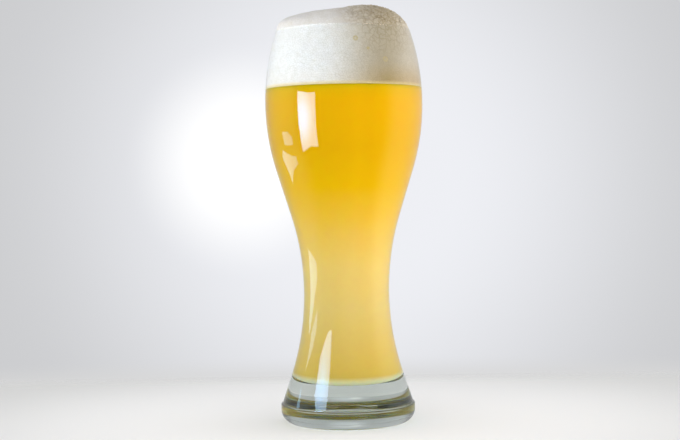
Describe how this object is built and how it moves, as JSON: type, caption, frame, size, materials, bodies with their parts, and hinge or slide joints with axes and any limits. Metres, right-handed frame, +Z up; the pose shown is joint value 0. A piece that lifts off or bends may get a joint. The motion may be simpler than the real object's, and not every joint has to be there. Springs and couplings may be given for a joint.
{
  "type": "pint of beer",
  "caption": "Tall waisted wheat-beer glass on a thick clear base, filled with hazy golden beer under a deep white head of foam that domes above the rim.",
  "frame": {"origin": "on the table under the glass's axis, at the centre of the foot", "axes": "+Z up along the glass's axis; the drinker looks along +Y; +X to the right, where the foam's crown is highest"},
  "size_m": [0.0838, 0.0838, 0.2225],
  "materials": {
    "glass": "clear polished soda-lime glass",
    "beer": "hazy golden liquid, paler towards the foot",
    "foam": "fine creamy foam with a few coarse bubbles"
  },
  "bodies": {
    "root": {"glass": "glass", "beer": "beer", "foam": "foam"}
  },
  "joints": []
}
